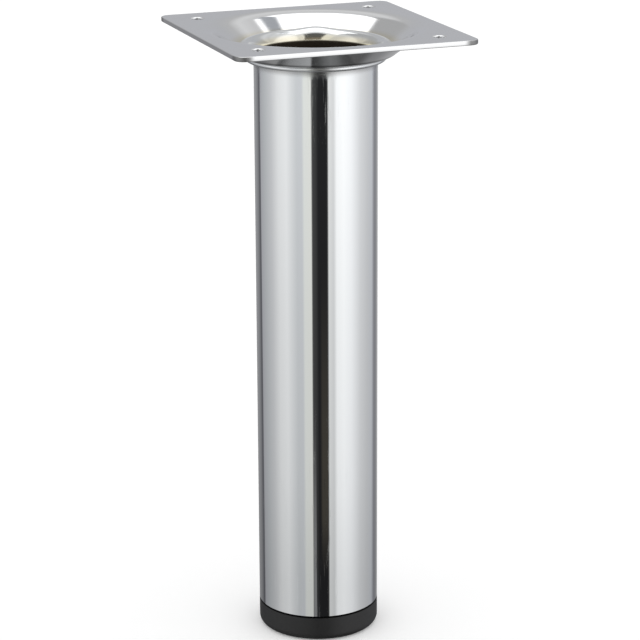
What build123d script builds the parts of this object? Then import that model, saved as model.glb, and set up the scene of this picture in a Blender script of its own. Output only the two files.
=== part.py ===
from build123d import *
import os
from math import asin, atan2, cos, degrees, hypot, radians, sin, sqrt, tan

# Chromed round furniture leg, all sizes in millimetres.
# The origin is the centre of the foot's underside, +Z points up to the plate,
# and the plate's edges run along X and Y.

# Driving dimensions: the whole leg
overall_height = 255.0          # floor to the plate's top, foot screwed right in
foot_travel = 20.0              # how far the foot screws out

# Driving dimensions: the steel tube
tube_diameter = 50.0
tube_wall = 1.2
tube_end_softening = 0.2        # deburred lower end
bead_reach = 3.5                # how far the fold under the plate stands out
bead_height = 2.2
curl_bend = 2.9                 # inside radius of the curled-over top end
curl_drop = 0.9                 # the curl's centre below the top of the dish floor

# Driving dimensions: the pressed mounting plate
plate_thickness = 2.0
plate_border = 4.65             # flat metal between the dish and the plate's edge
plate_corner_radius = 4.0
plate_edge_softening = 0.3      # punched and plated edges
dish_depth = 8.7                # plate's top down to the dish floor
dish_floor_margin = 4.7         # flat ring between the tube and the dish's lower bend
dish_side_width = 15.65         # plan width of the dish's side with both its bends
dish_upper_bend = 10.0          # radius of the rounded bend at the dish's rim
dish_lower_bend = 2.4           # radius of the hollow bend at the dish floor
screw_hole_diameter = 5.5
screw_hole_inset = 12.5         # hole centre in from each edge
hole_edge_softening = 0.5       # eased by the punch

# Driving dimensions: the plastic foot
foot_rim_height = 10.3
foot_seam = 0.7                 # shadow gap between the foot's rim and the tube
foot_bottom_radius = 3.0
foot_top_radius = 0.4
foot_floor = 3.6
foot_wall = 2.4
foot_hub_radius = 10.0
foot_rib_count = 8
foot_rib_thickness = 1.6
foot_rib_drop = 1.8             # ribs stop this far below the rim
rib_root = 0.5                  # how far ribs and webs run into what carries them

# Driving dimensions: the levelling screw and its nut
thread_diameter = 10.0
thread_spare = 3.6              # screw left above the nut at full travel
screw_tip_chamfer = 1.0
screw_head_radius = 7.0
screw_head_height = 2.6
nut_across_flats = 17.0
nut_height = 8.0
nut_chamfer_angle = 30.0

# Driving dimensions: the plastic plug inside the tube
plug_height = 25.0
plug_wall = 2.0
plug_base = 3.0
plug_hub_wall = 2.6             # plastic around the nut's corners
plug_roof = 7.0                 # plastic above the nut, which takes the load
plug_web_count = 6
plug_web_thickness = 1.8
crush_rib_count = 12
crush_rib_height = 0.5
crush_rib_width = 1.6
plug_lead_in = 0.6

# Clearances
hole_clearance = 0.1            # plate's hole round the tube and inside its curl, radial
curl_clearance = 0.05           # curl's end above the dish's side
thread_clearance = 0.05         # nut and foot round the screw, radial
nut_clearance = 0.05            # nut in its pocket, each side
head_clearance = 0.1            # screw head in the foot, above and below
plug_recess = 0.2               # plug's base above the tube's end
foot_stop_gap = 0.3             # foot's hub below the plug when screwed right in
screw_hole_play = 0.4           # plug's roof round the screw, radial

# Places worked out from the sizes above
tube_radius = tube_diameter / 2
bore_radius = tube_radius - tube_wall
tube_end_z = foot_rim_height + foot_seam
plate_bottom_z = overall_height - plate_thickness
floor_top_z = overall_height - dish_depth
floor_bottom_z = floor_top_z - plate_thickness
bead_bottom_z = floor_bottom_z - bead_height
bead_radius = tube_radius + bead_reach
hole_radius = tube_radius + hole_clearance
floor_edge_radius = tube_radius + dish_floor_margin
dish_rim_radius = floor_edge_radius + dish_side_width
plate_side = 2 * (dish_rim_radius + plate_border)
screw_spacing = plate_side - 2 * screw_hole_inset
thread_radius = thread_diameter / 2
plug_base_z = tube_end_z + plug_recess
nut_base_z = plug_base_z + plug_recess
nut_top_z = nut_base_z + nut_height
screw_top_z = nut_top_z + foot_travel + thread_spare
head_base_z = foot_floor + head_clearance
foot_hub_top_z = plug_base_z - foot_stop_gap

os.makedirs("parts", exist_ok=True)

# The dish's side is a straight slope between two bends, and its lean is the one at
# which it touches both. The lower bend's centre stands over the edge of the dish
# floor, the upper bend's centre stands under the rim.
lower_centre = (floor_edge_radius, floor_top_z + dish_lower_bend)
upper_centre = (dish_rim_radius, overall_height - dish_upper_bend)
both_bends = dish_lower_bend + dish_upper_bend
side_lean = (
    atan2(dish_depth - both_bends, dish_side_width)
    + asin(both_bends / hypot(dish_side_width, dish_depth - both_bends))
)
side_lean_degrees = degrees(side_lean)

# The tube's top end curls over the edge of the plate's hole, and on round until its
# end sits on the dish's side
curl_centre = (tube_radius + curl_bend, floor_top_z - curl_drop)
hole_edge_bend = curl_bend - hole_clearance
hole_edge_turn = degrees(asin(curl_drop / hole_edge_bend))
side_offset = (
    (lower_centre[0] - curl_centre[0]) * sin(side_lean)
    - (lower_centre[1] - curl_centre[1]) * cos(side_lean)
    + dish_lower_bend
)
curl_end_lean = side_lean - asin((side_offset - curl_clearance) / (curl_bend + tube_wall))
curl_turn = 180 - degrees(curl_end_lean)

# Mounting plate: a flat square with four screw holes, and a round dish pressed
# down to the floor that the tube is fixed in
with BuildPart() as mounting_plate:
    with BuildSketch(Plane.XY.offset(plate_bottom_z)):
        RectangleRounded(plate_side, plate_side, plate_corner_radius)
    extrude(amount=plate_thickness)
    chamfer(mounting_plate.faces().filter_by(Axis.Z).edges(), plate_edge_softening)
    with BuildSketch(Plane.XY.offset(plate_bottom_z)):
        with GridLocations(screw_spacing, screw_spacing, 2, 2):
            Circle(screw_hole_diameter / 2)
    extrude(amount=plate_thickness, mode=Mode.SUBTRACT)
    chamfer(mounting_plate.edges(Select.LAST).filter_by(GeomType.CIRCLE), hole_edge_softening)
    with BuildSketch(Plane.XY.offset(plate_bottom_z)):
        Circle(dish_rim_radius)
    extrude(amount=plate_thickness, mode=Mode.SUBTRACT)
    with BuildSketch(Plane.XZ) as dish_profile:
        with BuildLine():
            rim_top = CenterArc(upper_centre, dish_upper_bend, 90, side_lean_degrees)
            bend_top = CenterArc(lower_centre, dish_lower_bend, -90, side_lean_degrees)
            Line(rim_top @ 1, bend_top @ 1)
            hole_edge = CenterArc(curl_centre, hole_edge_bend, 180, -hole_edge_turn)
            Line(bend_top @ 0, hole_edge @ 1)
            rim_under = CenterArc(
                upper_centre, dish_upper_bend - plate_thickness, 90, side_lean_degrees
            )
            bend_under = CenterArc(
                lower_centre, dish_lower_bend + plate_thickness, -90, side_lean_degrees
            )
            Line(rim_under @ 1, bend_under @ 1)
            Polyline(hole_edge @ 0, (hole_radius, floor_bottom_z), bend_under @ 0)
            Line(rim_under @ 0, rim_top @ 0)
        make_face()
    revolve(axis=Axis.Z)
mounting_plate.part.label = "mounting_plate"
export_step(mounting_plate.part, "parts/mounting_plate.step")

# Tube: one length of steel, folded into a bead under the dish floor and curled over
# on top of it, so that the plate is held between the two
with BuildPart() as tube:
    with BuildSketch(Plane.XZ):
        with BuildLine():
            Polyline(
                (tube_radius, tube_end_z),
                (tube_radius, bead_bottom_z),
                (bead_radius - bead_height / 2, bead_bottom_z),
            )
            CenterArc(
                (bead_radius - bead_height / 2, bead_bottom_z + bead_height / 2),
                bead_height / 2, -90, 180,
            )
            curl_inside = CenterArc(curl_centre, curl_bend, 180, -curl_turn)
            curl_outside = CenterArc(curl_centre, curl_bend + tube_wall, 180, -curl_turn)
            Line(curl_inside @ 1, curl_outside @ 1)
            Polyline(
                (bead_radius - bead_height / 2, floor_bottom_z),
                (tube_radius, floor_bottom_z),
                curl_inside @ 0,
            )
            Polyline(
                curl_outside @ 0,
                (bore_radius, tube_end_z),
                (tube_radius, tube_end_z),
            )
        make_face()
    revolve(axis=Axis.Z)
    chamfer(tube.faces().sort_by(Axis.Z)[0].edges(), tube_end_softening)
tube.part.label = "tube"
export_step(tube.part, "parts/tube.step")

# Plug: a moulded cup pressed into the tube's lower end on crush ribs, with a hub
# that holds the nut in a pocket open downwards
plug_radius = bore_radius - crush_rib_height
plug_top_z = plug_base_z + plug_height
pocket_across_flats = nut_across_flats + 2 * nut_clearance
pocket_corner_radius = pocket_across_flats / sqrt(3)
plug_hub_radius = pocket_corner_radius + plug_hub_wall
plug_roof_z = nut_top_z + plug_roof
web_start = plug_hub_radius - rib_root
web_end = plug_radius - plug_wall + rib_root
with BuildPart() as tube_plug:
    with BuildSketch(Plane.XY.offset(plug_base_z)):
        Circle(plug_radius)
    extrude(amount=plug_height)
    chamfer(tube_plug.faces().sort_by(Axis.Z)[-1].edges(), plug_lead_in)
    with BuildSketch(Plane.XY.offset(plug_base_z + plug_base)):
        Circle(plug_radius - plug_wall)
        Circle(plug_hub_radius, mode=Mode.SUBTRACT)
    extrude(amount=plug_height, mode=Mode.SUBTRACT)
    with BuildSketch(Plane.XY.offset(plug_roof_z)):
        Circle(plug_hub_radius)
    extrude(amount=plug_height, mode=Mode.SUBTRACT)
    with BuildSketch(Plane.XY.offset(plug_base_z)):
        with PolarLocations((web_start + web_end) / 2, plug_web_count):
            Rectangle(web_end - web_start, plug_web_thickness)
    extrude(amount=plug_roof_z - plug_base_z)
    with BuildSketch(Plane.XY.offset(plug_base_z)):
        with PolarLocations(plug_radius, crush_rib_count):
            Rectangle(2 * crush_rib_height, crush_rib_width)
        Circle(bore_radius, mode=Mode.INTERSECT)
    extrude(amount=plug_height - 2 * plug_lead_in)
    with BuildSketch(Plane.XY.offset(plug_base_z)):
        RegularPolygon(pocket_corner_radius, 6)
    extrude(amount=nut_top_z - plug_base_z, mode=Mode.SUBTRACT)
    with BuildSketch(Plane.XY.offset(plug_base_z)):
        Circle(thread_radius + screw_hole_play)
    extrude(amount=plug_height, mode=Mode.SUBTRACT)
tube_plug.part.label = "tube_plug"
export_step(tube_plug.part, "parts/tube_plug.step")

# Nut: plain hexagon, its corners turned off at both faces
nut_corner_radius = nut_across_flats / sqrt(3)
nut_flat_radius = nut_across_flats / 2
corner_drop = (nut_corner_radius - nut_flat_radius) * tan(radians(nut_chamfer_angle))
with BuildPart() as captive_nut:
    with BuildSketch(Plane.XY.offset(nut_base_z)):
        RegularPolygon(nut_corner_radius, 6)
    extrude(amount=nut_height)
    with BuildSketch(Plane.XZ):
        with BuildLine():
            Polyline(
                (thread_radius + thread_clearance, nut_base_z),
                (nut_flat_radius, nut_base_z),
                (nut_corner_radius, nut_base_z + corner_drop),
                (nut_corner_radius, nut_top_z - corner_drop),
                (nut_flat_radius, nut_top_z),
                (thread_radius + thread_clearance, nut_top_z),
                close=True,
            )
        make_face()
    revolve(axis=Axis.Z, mode=Mode.INTERSECT)
captive_nut.part.label = "captive_nut"
export_step(captive_nut.part, "parts/captive_nut.step")

# Levelling screw: a stud with a round head that is moulded into the foot
with BuildPart() as levelling_screw:
    with BuildSketch(Plane.XY.offset(head_base_z)):
        Circle(screw_head_radius)
    extrude(amount=screw_head_height)
    with BuildSketch(Plane.XY.offset(head_base_z)):
        Circle(thread_radius)
    extrude(amount=screw_top_z - head_base_z)
    chamfer(levelling_screw.faces().sort_by(Axis.Z)[-1].edges(), screw_tip_chamfer)
levelling_screw.part.label = "levelling_screw"
export_step(levelling_screw.part, "parts/levelling_screw.step")

# Foot: a moulded disc as wide as the tube, hollow above its floor, with a ribbed
# hub round the screw's head
foot_rib_start = foot_hub_radius - rib_root
foot_rib_end = tube_radius - foot_wall + rib_root
with BuildPart() as foot_disc:
    with BuildSketch(Plane.XY):
        Circle(tube_radius)
    extrude(amount=foot_rim_height)
    fillet(foot_disc.faces().sort_by(Axis.Z)[0].edges(), foot_bottom_radius)
    with BuildSketch(Plane.XY.offset(foot_floor)):
        Circle(tube_radius - foot_wall)
        Circle(foot_hub_radius, mode=Mode.SUBTRACT)
    extrude(amount=foot_rim_height, mode=Mode.SUBTRACT)
    fillet(foot_disc.faces().sort_by(Axis.Z)[-1].edges().sort_by(SortBy.RADIUS)[-1], foot_top_radius)
    with BuildSketch(Plane.XY.offset(foot_floor)):
        with PolarLocations((foot_rib_start + foot_rib_end) / 2, foot_rib_count):
            Rectangle(foot_rib_end - foot_rib_start, foot_rib_thickness)
    extrude(amount=foot_rim_height - foot_rib_drop - foot_floor)
    with BuildSketch(Plane.XY.offset(foot_floor)):
        Circle(foot_hub_radius)
    extrude(amount=foot_hub_top_z - foot_floor)
    with BuildSketch(Plane.XY.offset(foot_floor)):
        Circle(screw_head_radius + head_clearance)
    extrude(amount=screw_head_height + 2 * head_clearance, mode=Mode.SUBTRACT)
    with BuildSketch(Plane.XY.offset(foot_floor)):
        Circle(thread_radius + thread_clearance)
    extrude(amount=foot_hub_top_z - foot_floor, mode=Mode.SUBTRACT)
foot_disc.part.label = "foot_disc"
export_step(foot_disc.part, "parts/foot_disc.step")
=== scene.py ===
import math
import bmesh
import bpy
from mathutils import Matrix, Vector


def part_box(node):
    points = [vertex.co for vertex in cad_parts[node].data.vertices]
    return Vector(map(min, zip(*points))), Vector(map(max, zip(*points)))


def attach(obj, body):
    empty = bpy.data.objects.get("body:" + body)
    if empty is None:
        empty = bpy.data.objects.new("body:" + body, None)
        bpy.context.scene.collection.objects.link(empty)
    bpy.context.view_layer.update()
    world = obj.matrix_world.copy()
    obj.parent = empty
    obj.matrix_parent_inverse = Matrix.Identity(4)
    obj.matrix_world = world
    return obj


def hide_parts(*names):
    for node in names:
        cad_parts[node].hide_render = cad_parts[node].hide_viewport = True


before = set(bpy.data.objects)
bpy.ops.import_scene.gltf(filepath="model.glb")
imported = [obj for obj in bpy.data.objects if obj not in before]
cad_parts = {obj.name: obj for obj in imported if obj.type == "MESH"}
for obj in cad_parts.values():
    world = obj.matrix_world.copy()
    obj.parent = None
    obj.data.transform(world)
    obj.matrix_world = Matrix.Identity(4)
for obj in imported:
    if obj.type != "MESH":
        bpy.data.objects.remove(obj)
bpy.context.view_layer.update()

MM = 0.001

# Sizes read from the frame, in metres
tube_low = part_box("tube")[0]
plate_low, plate_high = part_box("mounting_plate")
foot_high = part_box("foot_disc")[1]
screw_low, screw_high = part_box("levelling_screw")
TUBE_RADIUS = foot_high[0]              # the foot's rim is as wide as the tube
TUBE_END = tube_low[2]
PLATE_HALF = plate_high[0]
PLATE_TOP = plate_high[2]
DISH_UNDERSIDE = plate_low[2]
SCREW_BASE = screw_low[2]
SCREW_TOP = screw_high[2]

# Sizes of the pressed plate, as in the part's source
PLATE_THICKNESS = 2.0 * MM
PLATE_BORDER = 4.65 * MM
PLATE_CORNER = 4.0 * MM
DISH_SIDE = 15.65 * MM
DISH_UPPER_BEND = 10.0 * MM
DISH_LOWER_BEND = 2.4 * MM
HOLE_RADIUS = 2.75 * MM
HOLE_INSET = 12.5 * MM
HOLE_FIT = 0.1 * MM                     # the plate's hole round the tube

# Sizes of the tube and the screw, as in the part's source
TUBE_WALL = 1.2 * MM
TUBE_SOFTENING = 0.2 * MM
CURL_BEND = 2.9 * MM                    # inside radius of the tube's curled-over end
CURL_DROP = 0.9 * MM                    # the curl's centre below the top of the dish floor
CURL_FIT = 0.05 * MM                    # the curl's end above the dish's side
BEAD_REACH = 3.5 * MM
BEAD_HEIGHT = 2.2 * MM
THREAD_RADIUS = 5.0 * MM
HEAD_RADIUS = 7.0 * MM
HEAD_HEIGHT = 2.6 * MM
SCREW_TIP = 1.0 * MM

# Seen on the leg, and not in the part's source, or a little different there
PLATE_EDGE = 0.35 * MM                  # the plating rounds off the edges a little more
HOLE_EDGE = 0.6 * MM
BEAD_ROOT = 0.5 * MM                    # hollow bend from the tube into the bead
CURL_STRETCH = 0.9 * MM                 # the curl's inner side is this much longer than a round one
WELD_RISE = 0.9 * MM                    # the tube's welded seam, at the back, lifts the curl there
WELD_SPREAD = 6.5 * MM
WELD_START = 2.0 * MM                   # the lift starts this far below the curl's centre
THREAD_PITCH = 1.5 * MM
THREAD_DEPTH = 0.85 * MM
# one turn of the thread: (share of the pitch, share of the depth) at each of its corners
THREAD_PROFILE = ((0.0, 1.0), (0.06, 1.0), (0.44, 0.0), (0.56, 0.0), (0.94, 1.0))

# Places that follow from those sizes
BORE = TUBE_RADIUS - TUBE_WALL
BEAD_BOTTOM = DISH_UNDERSIDE - BEAD_HEIGHT
FLOOR_TOP = DISH_UNDERSIDE + PLATE_THICKNESS
DISH_RIM = PLATE_HALF - PLATE_BORDER
CURL_CENTRE = (TUBE_RADIUS + CURL_BEND, FLOOR_TOP - CURL_DROP)
CURL_CREST = CURL_CENTRE[1] + CURL_BEND + TUBE_WALL

# How finely the meshes are divided
AROUND = 256
HOLE_AROUND = 64
SCREW_AROUND = 48
HOLD = 0.03 * MM                        # support loops lie this near a sharp change
HOLD_FROM = 12 * HOLD                   # only longer stretches get them
HAIR = 0.01 * MM                        # the thread's lowest rows lie this close on the screw's head
SHARP_BEND = 30.0                       # in degrees: a sharper bend is shaded as an edge
THREAD_SHARP_BEND = 20.0

# Camera: where the photograph was taken from, fitted to the leg's outlines
CAMERA_AZIMUTH = math.radians(20.51)
CAMERA_DISTANCE = 994.21 * MM
CAMERA_RISE = 176.83 * MM               # above the plate's top
CAMERA_PITCH = math.radians(16.73)
CAMERA_PAN = math.radians(0.07)
CAMERA_ROLL = math.radians(-0.26)
FOCAL_PIXELS = 2513.34
IMAGE_PIXELS = 640
SENSOR = 36.0
NEAREST = 0.01
FARTHEST = 50.0


# Outlines: lists of (radius, height) points, turned about the leg's axis

def arc(centre, radius, start, end, steps):
    """Points on an arc in an outline, both ends included, angles in degrees."""
    points = []
    for step in range(steps + 1):
        angle = math.radians(start + (end - start) * step / steps)
        points.append((
            centre[0] + radius * math.cos(angle),
            centre[1] + radius * math.sin(angle),
        ))
    return points


def held(points, closed=True):
    """The outline with a point just inside both ends of every long stretch, for true shading."""
    out = []
    count = len(points)
    for i, point in enumerate(points):
        out.append(point)
        if not closed and i == count - 1:
            break
        after = points[(i + 1) % count]
        length = math.dist(point, after)
        if length > HOLD_FROM:
            for along in (HOLD / length, 1 - HOLD / length):
                out.append((
                    point[0] + (after[0] - point[0]) * along,
                    point[1] + (after[1] - point[1]) * along,
                ))
    return out


def dish_side():
    """The dish's side: centres of its lower and upper bends, and its lean in degrees."""
    low = (DISH_RIM - DISH_SIDE, FLOOR_TOP + DISH_LOWER_BEND)
    high = (DISH_RIM, PLATE_TOP - DISH_UPPER_BEND)
    rise = high[1] - low[1]
    lean = math.atan2(rise, DISH_SIDE)
    lean += math.asin((DISH_LOWER_BEND + DISH_UPPER_BEND) / math.hypot(DISH_SIDE, rise))
    return low, high, math.degrees(lean)


def curl_end_angle():
    """Where the curl stops, in degrees round its centre, with its end just clear of the dish's side."""
    low, high, lean = dish_side()
    turned = math.radians(lean)
    across = (low[0] - CURL_CENTRE[0]) * math.sin(turned)
    along = (low[1] - CURL_CENTRE[1]) * math.cos(turned)
    offset = across - along + DISH_LOWER_BEND
    return lean - math.degrees(math.asin((offset - CURL_FIT) / (CURL_BEND + TUBE_WALL)))


def tube_outline():
    """Up the outside from the tube's end, round the bead and the curl, and down the bore."""
    points = [
        (BORE + TUBE_SOFTENING, TUBE_END),
        (TUBE_RADIUS - TUBE_SOFTENING, TUBE_END),
        (TUBE_RADIUS, TUBE_END + TUBE_SOFTENING),
    ]
    points += arc((TUBE_RADIUS + BEAD_ROOT, BEAD_BOTTOM - BEAD_ROOT), BEAD_ROOT, 180, 90, 6)
    bead_bend = BEAD_HEIGHT / 2
    bead_middle = (TUBE_RADIUS + BEAD_REACH - bead_bend, BEAD_BOTTOM + bead_bend)
    points += arc(bead_middle, bead_bend, -90, 90, 20)
    points += [(TUBE_RADIUS, DISH_UNDERSIDE)]
    curl_end = curl_end_angle()
    outside = CURL_BEND + TUBE_WALL
    points += arc(CURL_CENTRE, CURL_BEND, 180, curl_end, 24)
    points += arc(CURL_CENTRE, outside, curl_end, 90, 24)
    stretch = 1 + CURL_STRETCH / outside
    points += [
        (radius, CURL_CREST + (height - CURL_CREST) * stretch)
        for radius, height in arc(CURL_CENTRE, outside, 90, 180, 36)[1:]
    ]
    points += [(BORE, TUBE_END + TUBE_SOFTENING)]
    return held(points)


def dish_outline():
    """The dish from its rim on top, down to the hole, and back up to the rim underneath."""
    low, high, lean = dish_side()
    hole = TUBE_RADIUS + HOLE_FIT
    edge_bend = CURL_BEND - HOLE_FIT
    edge_turn = math.degrees(math.asin(CURL_DROP / edge_bend))
    top = arc(high, DISH_UPPER_BEND, 90, 90 + lean, 24)
    top += arc(low, DISH_LOWER_BEND, lean - 90, -90, 16)
    under = arc((hole + edge_bend, FLOOR_TOP - CURL_DROP), edge_bend, 180 - edge_turn, 180, 6)
    under += [(hole, DISH_UNDERSIDE)]
    under += arc(low, DISH_LOWER_BEND + PLATE_THICKNESS, -90, lean - 90, 16)
    under += arc(high, DISH_UPPER_BEND - PLATE_THICKNESS, 90 + lean, 90, 24)
    return held(top + under, closed=False)


# Meshes: loops of points with quads between them

def circle(centre, radius, height, count):
    angles = [2 * math.pi * step / count for step in range(count)]
    return [
        (centre[0] + radius * math.cos(angle), centre[1] + radius * math.sin(angle), height)
        for angle in angles
    ]


def bridge(bm, first, second):
    """Quads between two loops with as many points."""
    count = len(first)
    for i in range(count):
        j = (i + 1) % count
        bm.faces.new((first[i], first[j], second[j], second[i]))


def loops(bm, rows):
    """A loop of vertices for each row of points, each bridged to the next."""
    made = [[bm.verts.new(point) for point in row] for row in rows]
    for first, second in zip(made, made[1:]):
        bridge(bm, first, second)
    return made


def finished(name, bm, sharp_bend=SHARP_BEND):
    """The object, with its faces turned outwards and its soft bends shaded smooth."""
    bmesh.ops.recalc_face_normals(bm, faces=bm.faces)
    mesh = bpy.data.meshes.new(name)
    bm.to_mesh(mesh)
    bm.free()
    mesh.shade_smooth()
    mesh.set_sharp_from_angle(angle=math.radians(sharp_bend))
    thing = bpy.data.objects.new(name, mesh)
    bpy.context.scene.collection.objects.link(thing)
    return thing


def lathe(name, outline):
    """A ring: the closed outline turned about the leg's axis."""
    bm = bmesh.new()
    rows = []
    for step in range(AROUND):
        angle = 2 * math.pi * step / AROUND
        rows.append([(r * math.cos(angle), r * math.sin(angle), height) for r, height in outline])
    made = loops(bm, rows)
    bridge(bm, made[-1], made[0])
    return finished(name, bm)


def make_tube():
    """The tube, its curl a little higher over the welded seam, which is turned away from the camera."""
    thing = lathe("chromed_tube", tube_outline())
    start = CURL_CENTRE[1] - WELD_START
    seam = math.pi / 2 - CAMERA_AZIMUTH
    for vert in thing.data.vertices:
        x, y, z = vert.co
        turned = abs(math.atan2(y, x) - seam)
        along = math.hypot(x, y) * min(turned, 2 * math.pi - turned)
        height = min(max((z - start) / (CURL_CREST - start), 0.0), 1.0)
        vert.co.z += WELD_RISE * math.exp(-(along / WELD_SPREAD) ** 2) * height ** 2
    return thing


def rounded_square(half, corner, height, count):
    """A loop round the plate's edge, each quarter from the middle of one side to that of the next."""
    points = []
    steps = count // 4
    flat = half - corner
    bend = corner * math.pi / 2
    for side in range(4):
        turn = Matrix.Rotation(side * math.pi / 2, 2)
        for step in range(steps):
            travel = step / steps * (2 * flat + bend)
            if travel < flat:
                place = Vector((half, travel))
            elif travel < flat + bend:
                angle = (travel - flat) / corner
                place = Vector((flat + corner * math.cos(angle), flat + corner * math.sin(angle)))
            else:
                place = Vector((flat - (travel - flat - bend), half))
            place = turn @ place
            points.append((place.x, place.y, height))
    return points


def fill(bm, rims):
    """A flat face with holes, between loops that are already there."""
    edges = []
    for rim in rims:
        for i, vert in enumerate(rim):
            after = rim[(i + 1) % len(rim)]
            edges.append(bm.edges.get((vert, after)) or bm.edges.new((vert, after)))
    bmesh.ops.triangle_fill(bm, edges=edges, use_beauty=True, use_dissolve=False)


def edge_rows(ring, inwards, top, bottom, softening):
    """Rows over a softened edge, from the top face to the bottom. ring(offset, height) gives one."""
    rows = [ring(inwards * (softening + HOLD), top)]
    for out, up in arc((0, 0), softening, 90, 0, 6):
        rows.append(ring(inwards * (softening - out), top - softening + up))
    for out, up in arc((0, 0), softening, 0, -90, 6):
        rows.append(ring(inwards * (softening - out), bottom + softening + up))
    rows.append(ring(inwards * (softening + HOLD), bottom))
    return rows


def make_plate():
    """The square with its four screw holes, and the dish pressed into it."""
    bottom = PLATE_TOP - PLATE_THICKNESS
    bm = bmesh.new()
    outer = loops(bm, edge_rows(
        lambda offset, height: rounded_square(PLATE_HALF - offset, PLATE_CORNER - offset, height, AROUND),
        1, PLATE_TOP, bottom, PLATE_EDGE,
    ))
    holes = []
    for x in (-1, 1):
        for y in (-1, 1):
            centre = (x * (PLATE_HALF - HOLE_INSET), y * (PLATE_HALF - HOLE_INSET))
            holes.append(loops(bm, edge_rows(
                lambda offset, height, centre=centre: circle(
                    centre, HOLE_RADIUS - offset, height, HOLE_AROUND
                ),
                -1, PLATE_TOP, bottom, HOLE_EDGE,
            )))
    outline = dish_outline()
    rows = [circle((0, 0), radius, height, AROUND) for radius, height in outline]
    first = circle((0, 0), DISH_RIM + HOLD, PLATE_TOP, AROUND)
    last = circle((0, 0), DISH_RIM + HOLD, bottom, AROUND)
    dish = loops(bm, [first] + rows + [last])
    fill(bm, [outer[0], dish[0]] + [hole[0] for hole in holes])
    fill(bm, [outer[-1], dish[-1]] + [hole[-1] for hole in holes])
    return finished("pressed_plate", bm)


def make_screw():
    """The stud with its real thread, on the round head that is moulded into the foot."""
    core = THREAD_RADIUS - THREAD_DEPTH
    head_top = SCREW_BASE + HEAD_HEIGHT
    turns = (SCREW_TOP - head_top) / THREAD_PITCH
    bm = bmesh.new()
    rows = [
        circle((0, 0), HEAD_RADIUS, SCREW_BASE, SCREW_AROUND),
        circle((0, 0), HEAD_RADIUS, head_top, SCREW_AROUND),
        circle((0, 0), THREAD_RADIUS + HOLD, head_top, SCREW_AROUND),
    ]
    corners = len(THREAD_PROFILE)
    count = int(turns * corners)
    for i in range(count + 1):
        share, out = THREAD_PROFILE[i % corners]
        base = head_top + (i // corners + share) * THREAD_PITCH
        row = []
        for step in range(SCREW_AROUND):
            angle = 2 * math.pi * step / SCREW_AROUND
            height = base + THREAD_PITCH * step / SCREW_AROUND - THREAD_PITCH
            height = min(max(height, head_top + HAIR * (i + 1) / count), SCREW_TOP)
            tip = THREAD_RADIUS - max(0.0, height - (SCREW_TOP - SCREW_TIP))
            radius = min(core + THREAD_DEPTH * out, tip)
            row.append((radius * math.cos(angle), radius * math.sin(angle), height))
        rows.append(row)
    rows.append(circle((0, 0), THREAD_RADIUS - SCREW_TIP, SCREW_TOP, SCREW_AROUND))
    made = loops(bm, rows)
    bm.faces.new(made[0][::-1])
    bm.faces.new(made[-1])
    return finished("threaded_stud", bm, THREAD_SHARP_BEND)


# Materials

class Nodes:
    """A short way to write a node tree."""

    def __init__(self, tree):
        self.tree = tree
        tree.nodes.clear()

    def add(self, kind, inputs=None, **settings):
        node = self.tree.nodes.new(kind)
        for name, value in settings.items():
            setattr(node, name, value)
        for name, value in (inputs or {}).items():
            self.put(node.inputs[name], value)
        return node

    def put(self, socket, value):
        if isinstance(value, bpy.types.NodeSocket):
            self.tree.links.new(value, socket)
        else:
            socket.default_value = value

    def math(self, operation, *values, clamp=False):
        node = self.add("ShaderNodeMath", operation=operation, use_clamp=clamp)
        for socket, value in zip(node.inputs, values):
            self.put(socket, value)
        return node.outputs[0]

    def ramp(self, value, stops):
        """A colour ramp: stops are (place, colour) pairs, where a colour may be one grey level."""
        node = self.add("ShaderNodeValToRGB", {"Fac": value})
        elements = node.color_ramp.elements
        while len(elements) < len(stops):
            elements.new(0.5)
        for element, stop in zip(elements, stops):
            element.position = stop[0]
        for element, stop in zip(elements, stops):
            colour = stop[1]
            grey = isinstance(colour, (int, float))
            element.color = (colour, colour, colour, 1) if grey else (*colour, 1)
        return node.outputs["Color"]

    def mix(self, share, first, second, blend="MIX"):
        node = self.add("ShaderNodeMix", data_type="RGBA", blend_type=blend)
        self.put(node.inputs[0], share)
        for socket, value in ((node.inputs[6], first), (node.inputs[7], second)):
            if isinstance(value, (int, float)):
                value = (value, value, value, 1)
            elif isinstance(value, tuple) and len(value) == 3:
                value = (*value, 1)
            self.put(socket, value)
        return node.outputs[2]

    def scaled(self, colour, factor):
        """The colour, times a plain factor."""
        node = self.add("ShaderNodeVectorMath", operation="SCALE")
        self.put(node.inputs[0], colour)
        self.put(node.inputs["Scale"], factor)
        return node.outputs[0]

    def between(self, value, start, end):
        """0 at start, 1 at end, smooth."""
        node = self.add(
            "ShaderNodeMapRange", {"Value": value, "From Min": start, "From Max": end},
            interpolation_type="SMOOTHSTEP",
        )
        return node.outputs["Result"]

    def both(self, first, second):
        """Two shares at once: their product."""
        return self.math("MULTIPLY", first, second)

    def band(self, value, one_side, other_side):
        """1 inside a band and 0 outside it. Each side is a pair: where it is 0 and where it is 1."""
        return self.both(self.between(value, *one_side), self.between(value, *other_side))

    def noise(self, vector, scale, detail):
        return self.add(
            "ShaderNodeTexNoise", {"Vector": vector, "Scale": scale, "Detail": detail, "Roughness": 0.5}
        ).outputs["Fac"]

    def varied(self, noise, low, high):
        """A grey level between low and high, over most of the noise's range."""
        return self.ramp(noise, [(NOISE_RANGE[0], low), (NOISE_RANGE[1], high)])

    def place(self):
        """Object coordinates, which are metres from the middle of the foot's underside."""
        return self.add("ShaderNodeTexCoord").outputs["Object"]

    def xyz(self, vector):
        return self.add("ShaderNodeSeparateXYZ", {0: vector}).outputs


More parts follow.
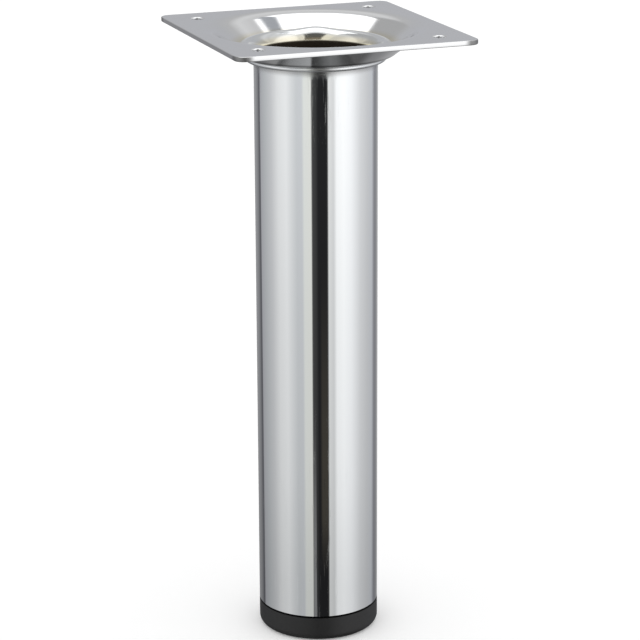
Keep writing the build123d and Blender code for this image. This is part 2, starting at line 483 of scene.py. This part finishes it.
def material(name):
    made = bpy.data.materials.new(name)
    made.use_nodes = True
    n = Nodes(made.node_tree)
    shader = n.add("ShaderNodeBsdfPrincipled")
    out = n.add("ShaderNodeOutputMaterial")
    n.tree.links.new(shader.outputs[0], out.inputs[0])
    return made, n, shader


def bump(n, shader, height, distance, strength=1.0):
    node = n.add("ShaderNodeBump", {"Height": height, "Distance": distance, "Strength": strength})
    n.put(shader.inputs["Normal"], node.outputs[0])


# Colours of the metals, and painted shade on them
CHROME = (0.87, 0.875, 0.885)
TUBE_CHROME = (0.860, 0.878, 0.888)
THIN_CHROME = (0.80, 0.765, 0.66)       # down in the dish, where the plating is thin
FOLDED_CHROME = (0.83, 0.785, 0.65)     # on the tube's curled end
SHADED_BARE_STEEL = (0.075, 0.060, 0.046)      # unplated inside the tube, and painted near black for the shade deep in the tube
UNDER_BEAD_SHADE = 0.43                      # painted shade just under the bead, where the bead shades the tube
# painted shade in the crevice between the dish's floor and the bead
CREVICE_SHADE = 0.30
CUT_CHROME = 0.30
ZINC = ((0.48, 0.49, 0.50), (0.62, 0.62, 0.60))

# Colours of the plastics, and how much they vary up and down
PLUG_BLACK = (0.022, 0.022, 0.023)
FOOT_BLACK = (0.010, 0.010, 0.0105)
BLACK_UNEVEN = 0.2

# How rough the finishes are. A pair is for the smoothest and the roughest places.
TUBE_ROUGH = (0.02, 0.035)
STREAK_ROUGH = 0.20
BEAD_ROUGH = 0.28
NECK_ROUGH = 0.26
LIP_ROUGH = 0.10
BARE_ROUGH = 0.5
PLATE_ROUGH = (0.06, 0.10)
CUT_ROUGH = 0.45
ZINC_ROUGH = (0.25, 0.42)
PLUG_ROUGH = (0.45, 0.6)
FOOT_ROUGH = (0.4, 0.55)
NOISE_RANGE = (0.3, 0.7)                # the noise levels that stand for the two ends

# Depth of the surfaces' waves and grain
CHROME_WAVE = 0.004 * MM
ZINC_GRAIN = 0.01 * MM
PLASTIC_GRAIN = 0.02 * MM
PLASTIC_GRAIN_STRENGTH = 0.6

# Where the tube's finish and its painted shade change. In each pair the change starts at the first place
# and is
# complete at the second: heights on the leg, or distances from its axis for the names in _INNER.
LIP_TOP = (FLOOR_TOP + 2.5 * MM, FLOOR_TOP + 0.1 * MM)
LIP_FOOT = (DISH_UNDERSIDE + 0.1 * MM, DISH_UNDERSIDE + 0.7 * MM)
LIP_INNER = (BORE + 2.2 * MM, BORE + 0.7 * MM)
BARE_TOP = (FLOOR_TOP - 0.5 * MM, DISH_UNDERSIDE + 0.7 * MM)
BARE_INNER = (BORE + 0.32 * MM, BORE + 0.06 * MM)
UNDER_BEAD_SHADE_FOOT = (BEAD_BOTTOM - 3.1 * MM, BEAD_BOTTOM)
UNDER_BEAD_SHADE_TOP = (BEAD_BOTTOM + 0.2 * MM, BEAD_BOTTOM)
BEAD_FOOT = (BEAD_BOTTOM - 0.2 * MM, BEAD_BOTTOM + 0.1 * MM)
BEAD_TOP = (DISH_UNDERSIDE + 0.5 * MM, DISH_UNDERSIDE)
BEAD_INNER = (TUBE_RADIUS + 0.1 * MM, TUBE_RADIUS + 0.8 * MM)
NECK_FOOT = (BEAD_BOTTOM - 5.0 * MM, BEAD_BOTTOM - 0.5 * MM)
NECK_TO_LIP = (DISH_UNDERSIDE + 0.2 * MM, DISH_UNDERSIDE + 1.2 * MM)
STREAKS_UPPER = (190.0 * MM, 232.0 * MM)
STREAKS_LOWER = (150.0 * MM, 20.0 * MM)
STREAK_NOISE = (0.5, 0.72)
STREAK_STRETCH = (1.0, 1.0, 0.04)       # the streaks run along the tube

# Where the plate's finish and its painted shade change, in the same way: heights, |x| + |y| for the cut
# corners, and for the names in FACING_ how much of the surface's normal points up
DISH_DEEP = (PLATE_TOP - 5.2 * MM, PLATE_TOP - 7.4 * MM)
CREVICE_TOP = (FLOOR_TOP - 0.1 * MM, DISH_UNDERSIDE + 0.9 * MM)
CREVICE_FOOT = (DISH_UNDERSIDE + 0.2 * MM, DISH_UNDERSIDE + 0.6 * MM)
CUT_CORNERS = (2 * PLATE_HALF - 7.5 * MM, 2 * PLATE_HALF - 4.0 * MM)
FACING_UP = (-0.2, 0.2)
FACING_DOWN = (0.2, -0.2)
FACING_OUT = (0.8, 0.5)


def tube_roughness(n, place, z, radius):
    """A mirror, with drawn streaks towards both ends, and rougher where the metal was folded."""
    rough = n.varied(n.noise(place, scale=900.0, detail=3.0), *TUBE_ROUGH)
    drawn = n.add("ShaderNodeVectorMath", {0: place, 1: STREAK_STRETCH}, operation="MULTIPLY").outputs[0]
    streaks = n.between(n.noise(drawn, scale=1600.0, detail=2.0), *STREAK_NOISE)
    ends = n.math("ADD", n.between(z, *STREAKS_UPPER), n.between(z, *STREAKS_LOWER), clamp=True)
    rough = n.mix(n.both(streaks, ends), rough, STREAK_ROUGH)
    bead = n.both(n.band(z, BEAD_FOOT, BEAD_TOP), n.between(radius, *BEAD_INNER))
    rough = n.mix(bead, rough, BEAD_ROUGH)
    folded = n.mix(n.between(z, *NECK_TO_LIP), NECK_ROUGH, LIP_ROUGH)
    return n.mix(n.between(z, *NECK_FOOT), rough, folded, "LIGHTEN")


def tube_chrome():
    """Bright plating outside, warmer on the curled end, with painted shade under the bead, and unplated
    steel inside, painted near black for the shade in the tube.
    """
    made, n, shader = material("tube_chrome")
    place = n.place()
    x, y, z = n.xyz(place)
    radius = n.math("SQRT", n.math("ADD", n.math("MULTIPLY", x, x), n.math("MULTIPLY", y, y)))
    lip = n.both(n.band(z, LIP_TOP, LIP_FOOT), n.between(radius, *LIP_INNER))
    colour = n.mix(lip, TUBE_CHROME, FOLDED_CHROME)
    # painted shade on the tube just under the bead
    colour = n.mix(n.band(z, UNDER_BEAD_SHADE_FOOT, UNDER_BEAD_SHADE_TOP), colour, UNDER_BEAD_SHADE)
    # the bore is unplated steel, painted near black for the shade deep inside the tube
    bare = n.both(n.between(z, *BARE_TOP), n.between(radius, *BARE_INNER))
    n.put(shader.inputs["Base Color"], n.mix(bare, colour, SHADED_BARE_STEEL))
    shader.inputs["Metallic"].default_value = 1.0
    rough = tube_roughness(n, place, z, radius)
    n.put(shader.inputs["Roughness"], n.mix(bare, rough, BARE_ROUGH))
    bump(n, shader, n.noise(place, scale=90.0, detail=1.0), CHROME_WAVE)
    return made


def plate_chrome():
    """Bright plating, thin and warm down in the dish, with painted shade in the crevice, and dull on the
    cut corners.
    """
    made, n, shader = material("plate_chrome")
    place = n.place()
    x, y, z = n.xyz(place)
    upward = n.xyz(n.add("ShaderNodeNewGeometry").outputs["Normal"])[2]
    thin = n.both(n.between(z, *DISH_DEEP), n.between(upward, *FACING_UP))
    colour = n.mix(thin, CHROME, THIN_CHROME)
    # painted shade in the crevice between the dish's floor and the bead
    crevice_shade = n.both(n.band(z, CREVICE_TOP, CREVICE_FOOT), n.between(upward, *FACING_DOWN))
    colour = n.mix(crevice_shade, colour, CREVICE_SHADE)
    # the blank's cut corners were never polished
    reach = n.math("ADD", n.math("ABSOLUTE", x), n.math("ABSOLUTE", y))
    cut = n.both(n.between(reach, *CUT_CORNERS), n.between(n.math("ABSOLUTE", upward), *FACING_OUT))
    n.put(shader.inputs["Base Color"], n.mix(cut, colour, CUT_CHROME))
    shader.inputs["Metallic"].default_value = 1.0
    rough = n.varied(n.noise(place, scale=700.0, detail=3.0), *PLATE_ROUGH)
    n.put(shader.inputs["Roughness"], n.mix(cut, rough, CUT_ROUGH))
    bump(n, shader, n.noise(place, scale=120.0, detail=1.0), CHROME_WAVE)
    return made


def black_plastic(name, base, rough):
    """Moulded plastic with a fine grain, a little uneven in its black."""
    made, n, shader = material(name)
    place = n.place()
    cloud = n.noise(place, scale=60.0, detail=3.0)
    darker = tuple((1 - BLACK_UNEVEN) * c for c in base)
    lighter = tuple((1 + BLACK_UNEVEN) * c for c in base)
    n.put(shader.inputs["Base Color"], n.mix(cloud, darker, lighter))
    grain = n.noise(place, scale=2500.0, detail=2.0)
    n.put(shader.inputs["Roughness"], n.varied(grain, *rough))
    bump(n, shader, grain, PLASTIC_GRAIN, PLASTIC_GRAIN_STRENGTH)
    return made


def zinc(name):
    """Zinc-plated steel, cloudy."""
    made, n, shader = material(name)
    place = n.place()
    cloud = n.noise(place, scale=250.0, detail=4.0)
    n.put(shader.inputs["Base Color"], n.mix(cloud, *ZINC))
    shader.inputs["Metallic"].default_value = 1.0
    n.put(shader.inputs["Roughness"], n.varied(cloud, *ZINC_ROUGH))
    bump(n, shader, n.noise(place, scale=1500.0, detail=3.0), ZINC_GRAIN)
    return made


def dress(thing, *materials):
    thing.data.materials.clear()
    for one in materials:
        thing.data.materials.append(one)


# Studio: what the chrome reflects, by direction, and a plain white room for all else. Angles are
# in degrees. A bearing is to the right of the camera as the leg sees it, a height is above the
# horizon, and a tilt goes over the leg: 0 in front, 90 straight up, 180 behind. An x is how far
# a direction points to the right. Pairs are as above: where a change starts and is complete.

# Brightness round the horizon, by bearing
STUDIO = [
    (-180, (0.36, 0.36, 0.37)),
    (-151, (0.27, 0.27, 0.28)),
    (-139, (0.20, 0.20, 0.21)),
    (-135, (0.13, 0.13, 0.14)),
    (-129.5, (0.10, 0.10, 0.11)),
    (-127, (0.36, 0.36, 0.38)),
    (-110, (0.44, 0.45, 0.46)),
    (-92, (0.55, 0.55, 0.56)),
    (-75, (0.74, 0.74, 0.74)),
    (-58, (0.80, 0.80, 0.80)),
    (-37, (0.58, 0.59, 0.60)),
    (-27, (0.58, 0.59, 0.61)),
    (-23, (0.72, 0.73, 0.70)),
    (-9.8, (0.73, 0.73, 0.69)),
    (-8.2, (0.06, 0.06, 0.06)),
    (-1, (0.040, 0.040, 0.040)),
    (3, (0.017, 0.017, 0.018)),
    (18, (0.017, 0.017, 0.018)),
    (20.8, (0.03, 0.03, 0.03)),
    (22.3, (0.75, 0.75, 0.74)),
    (32, (0.67, 0.67, 0.67)),
    (38, (0.96, 0.96, 0.96)),
    (52, (1.02, 1.02, 1.02)),
    (68, (0.94, 0.94, 0.95)),
    (90, (0.68, 0.68, 0.69)),
    (110, (0.57, 0.57, 0.58)),
    (127, (0.51, 0.52, 0.55)),
    (136, (0.26, 0.26, 0.28)),
    (141, (0.22, 0.22, 0.24)),
    (152, (0.27, 0.27, 0.28)),
    (166, (0.52, 0.52, 0.53)),
    (180, (0.40, 0.40, 0.41)),
]

# How the strips' brightness changes below the horizon: degrees down, and a factor
FALL = [(5, 1.28), (12, 1.14), (16.7, 1.0), (20.3, 0.92), (22.7, 0.78), (40, 0.55)]
FALL_SPAN = 60.0

# A warm glow and a glint, low in the dark strip
GLOW = (0.050, 0.045, 0.037)
GLOW_BEARING = (5, 10)
GLOW_TOP = (-15.0, -20.0)
GLOW_FOOT = (-22.6, -21.0)
GLINT = 0.19
GLINT_LEFT = (-8.5, -7.5)
GLINT_RIGHT = (-2.2, -3.4)
GLINT_TOP = (-18.5, -22.5)

# Brightness under the leg, by bearing
UNDER_HEIGHT = (-43.0, -51.0)
UNDER = [
    (-180, 0.18), (-159, 0.25), (-140, 0.16), (-119, 0.10), (-85, 0.26), (-50, 0.34),
    (-25, 0.39), (-17, 0.38), (-13, 0.05), (9, 0.08), (28, 0.14), (48, 0.19),
    (68, 0.165), (90, 0.095), (115, 0.07), (159, 0.10), (180, 0.14),
]

# In front, the strips run on over the leg with some haze, and drift to one side as they rise
STRIPS_DRIFT = 5.0
STRIPS_DRIFT_TILT = (0.0, 50.0)
STRIPS_GAIN = 1.2
FRONT_HAZE = [
    (2, 0.0), (8, (0.24, 0.22, 0.18)), (15, (0.22, 0.20, 0.17)), (25, 0.11), (75, 0.10),
]

# Behind the leg, by tilt, with a dimmer stretch on the left
FAR_WALL = (0.455, 0.462, 0.49)
FAR_WALL_HEIGHT = (-3.0, 5.0)
FAR_WALL_TURN = (0.55, 0.75)            # share of the way from the front to the back
BEHIND = [
    (112, 0.70), (122, 0.62), (135, 0.70), (140, 0.63), (147, 0.50), (160, (0.47, 0.475, 0.49)),
    (180, FAR_WALL),
]
DIM = 0.42
DIM_RIGHT = (-0.30, -0.42)
DIM_LEFT = (-0.98, -0.6)
BEHIND_TO_FRONT = (100.0, 70.0)

# The soft box over the leg, by tilt and x, its far edge bowed, and the stand beside it
BOX_DARK = 0.75
BOX_BRIGHT = 1.5
BOX_BRIGHTENING = (52.0, 74.0)
BOX_NEAR = (48.0, 52.0)
BOX_FAR = (113.0, 109.5)
BOX_BOW = 16.0
BOX_LEFT = (-0.50, -0.47)
BOX_RIGHT = (0.46, 0.44)
STAND = (0.38, 0.395, 0.42)
STAND_LEFT = (0.31, 0.34)
STAND_RIGHT = (0.43, 0.41)
STAND_NEAR = (95.0, 99.0)
STAND_FAR = (121.0, 116.0)

HORIZON_TO_SKY = (0.0, 10.0)

FLOOR_SIDE = 8.0
FLOOR_WHITE = (0.9, 0.9, 0.9, 1)
FLOOR_GLOW = 0.17                       # seen by the camera only: it softens the shadow


def bearing(angle):
    """Where a bearing lies on the way round, which is 0.5 in front and 0 or 1 behind."""
    return 0.5 + angle / 360


def by_bearing(n, around, stops):
    return n.ramp(around, [(bearing(angle), colour) for angle, colour in stops])


def by_tilt(n, tilt, stops):
    return n.ramp(n.math("DIVIDE", tilt, 180.0), [(angle / 180, colour) for angle, colour in stops])


def directions(n):
    """The direction looked in: its x, its way round, its height and its tilt."""
    direction = n.add("ShaderNodeTexCoord").outputs["Generated"]
    turned = n.add(
        "ShaderNodeVectorRotate", {"Vector": direction, "Angle": CAMERA_AZIMUTH}, rotation_type="Z_AXIS"
    ).outputs[0]
    x, y, z = n.xyz(turned)
    ahead = n.math("MULTIPLY", y, -1.0)
    around = n.math("ADD", n.math("DIVIDE", n.math("ARCTAN2", x, ahead), 2 * math.pi), 0.5)
    height = n.math("DEGREES", n.math("ARCSINE", z))
    tilt = n.math("DEGREES", n.math("ARCTAN2", z, ahead))
    return x, around, height, tilt


def horizon(n, around, height):
    """The strips round the leg, with a warm glow and a glint low in the dark one."""
    stops = [(down / FALL_SPAN, level) for down, level in FALL]
    fall = n.ramp(n.math("DIVIDE", height, -FALL_SPAN), stops)
    strips = n.scaled(by_bearing(n, around, STUDIO), fall)
    glow = n.both(n.band(height, GLOW_TOP, GLOW_FOOT), n.between(around, *map(bearing, GLOW_BEARING)))
    strips = n.mix(glow, strips, GLOW, "LIGHTEN")
    glint = n.band(around, tuple(map(bearing, GLINT_LEFT)), tuple(map(bearing, GLINT_RIGHT)))
    glint = n.both(glint, n.between(height, *GLINT_TOP))
    return n.mix(glint, strips, GLINT)


def below(n, around, height):
    """From straight down to the horizon, where the far wall takes over behind the leg."""
    under = by_bearing(n, around, UNDER)
    low = n.mix(n.between(height, *UNDER_HEIGHT), horizon(n, around, height), under)
    turn = n.math("ABSOLUTE", n.math("SUBTRACT", n.math("MULTIPLY", around, 2.0), 1.0))
    wall = n.both(n.between(height, *FAR_WALL_HEIGHT), n.between(turn, *FAR_WALL_TURN))
    return n.mix(wall, low, FAR_WALL)


def in_front(n, x, tilt):
    side = n.math("DEGREES", n.math("ARCSINE", x))
    drift = n.math("MULTIPLY", n.between(tilt, *STRIPS_DRIFT_TILT), STRIPS_DRIFT)
    place = n.math("ADD", n.math("DIVIDE", n.math("ADD", side, drift), 360.0), 0.5)
    strips = n.scaled(by_bearing(n, place, STUDIO), STRIPS_GAIN)
    return n.mix(1.0, strips, by_tilt(n, tilt, FRONT_HAZE), "LIGHTEN")


def behind(n, x, tilt):
    return n.mix(n.band(x, DIM_RIGHT, DIM_LEFT), by_tilt(n, tilt, BEHIND), DIM)


def overhead(n, x, tilt):
    """All that is above the horizon: front and back, the soft box over the leg, and its stand."""
    sky = n.mix(n.between(tilt, *BEHIND_TO_FRONT), behind(n, x, tilt), in_front(n, x, tilt))
    bowed = n.math("SUBTRACT", tilt, n.math("MULTIPLY", n.math("ABSOLUTE", x), BOX_BOW))
    box = n.both(n.between(tilt, *BOX_NEAR), n.between(bowed, *BOX_FAR))
    box = n.both(box, n.band(x, BOX_LEFT, BOX_RIGHT))
    sky = n.mix(box, sky, n.mix(n.between(tilt, *BOX_BRIGHTENING), BOX_DARK, BOX_BRIGHT))
    stand = n.both(n.band(x, STAND_LEFT, STAND_RIGHT), n.band(tilt, STAND_NEAR, STAND_FAR))
    return n.mix(stand, sky, STAND)


def make_world():
    world = bpy.data.worlds.new("studio")
    bpy.context.scene.world = world
    world.use_nodes = True
    n = Nodes(world.node_tree)
    out = n.add("ShaderNodeOutputWorld")
    x, around, height, tilt = directions(n)
    room = n.mix(n.between(height, *HORIZON_TO_SKY), below(n, around, height), overhead(n, x, tilt))
    studio = n.add("ShaderNodeBackground", {"Color": room, "Strength": 1.0})
    plain = n.add("ShaderNodeBackground", {"Color": (1, 1, 1, 1), "Strength": 1.0})
    rays = n.add("ShaderNodeLightPath")
    which = n.add("ShaderNodeMixShader", {"Fac": rays.outputs["Is Glossy Ray"]})
    n.tree.links.new(plain.outputs[0], which.inputs[1])
    n.tree.links.new(studio.outputs[0], which.inputs[2])
    n.tree.links.new(which.outputs[0], out.inputs[0])


def make_floor():
    bpy.ops.mesh.primitive_plane_add(size=FLOOR_SIDE)
    floor = bpy.context.object
    floor.name = "floor"
    floor.visible_glossy = False
    made = bpy.data.materials.new("floor")
    made.use_nodes = True
    n = Nodes(made.node_tree)
    out = n.add("ShaderNodeOutputMaterial")
    white = n.add("ShaderNodeBsdfDiffuse", {"Color": FLOOR_WHITE})
    rays = n.add("ShaderNodeLightPath")
    seen = n.math("MULTIPLY", rays.outputs["Is Camera Ray"], FLOOR_GLOW)
    glow = n.add("ShaderNodeEmission", {"Strength": seen})
    total = n.add("ShaderNodeAddShader")
    n.tree.links.new(white.outputs[0], total.inputs[0])
    n.tree.links.new(glow.outputs[0], total.inputs[1])
    n.tree.links.new(total.outputs[0], out.inputs[0])
    dress(floor, made)


def make_camera():
    forward = Vector((
        math.sin(CAMERA_PAN) * math.cos(CAMERA_PITCH),
        math.cos(CAMERA_PAN) * math.cos(CAMERA_PITCH),
        -math.sin(CAMERA_PITCH),
    ))
    level_right = forward.cross(Vector((0, 0, 1))).normalized()
    level_up = level_right.cross(forward)
    right = math.cos(CAMERA_ROLL) * level_right + math.sin(CAMERA_ROLL) * level_up
    up = math.cos(CAMERA_ROLL) * level_up - math.sin(CAMERA_ROLL) * level_right
    place = Matrix((right, up, -forward)).transposed().to_4x4()
    place.translation = Vector((0, -CAMERA_DISTANCE, PLATE_TOP + CAMERA_RISE))
    data = bpy.data.cameras.new("camera")
    data.sensor_width = SENSOR
    data.lens = FOCAL_PIXELS * SENSOR / IMAGE_PIXELS
    data.clip_start = NEAREST
    data.clip_end = FARTHEST
    camera = bpy.data.objects.new("camera", data)
    camera.matrix_world = Matrix.Rotation(-CAMERA_AZIMUTH, 4, "Z") @ place
    bpy.context.scene.collection.objects.link(camera)
    bpy.context.scene.camera = camera


# The leg's pieces, each on its body and in place of its node

tube = make_tube()
dress(tube, tube_chrome())
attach(tube, "leg")
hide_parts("tube")

plate = make_plate()
dress(plate, plate_chrome())
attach(plate, "leg")
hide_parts("mounting_plate")

screw = make_screw()
dress(screw, zinc("screw_steel"))
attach(screw, "screw")
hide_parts("levelling_screw")

dress(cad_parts["captive_nut"], zinc("nut_steel"))
dress(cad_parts["tube_plug"], black_plastic("plug_plastic", PLUG_BLACK, PLUG_ROUGH))
dress(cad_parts["foot_disc"], black_plastic("foot_plastic", FOOT_BLACK, FOOT_ROUGH))

# The studio

make_world()
make_floor()
make_camera()
bpy.context.scene.view_settings.view_transform = "Standard"
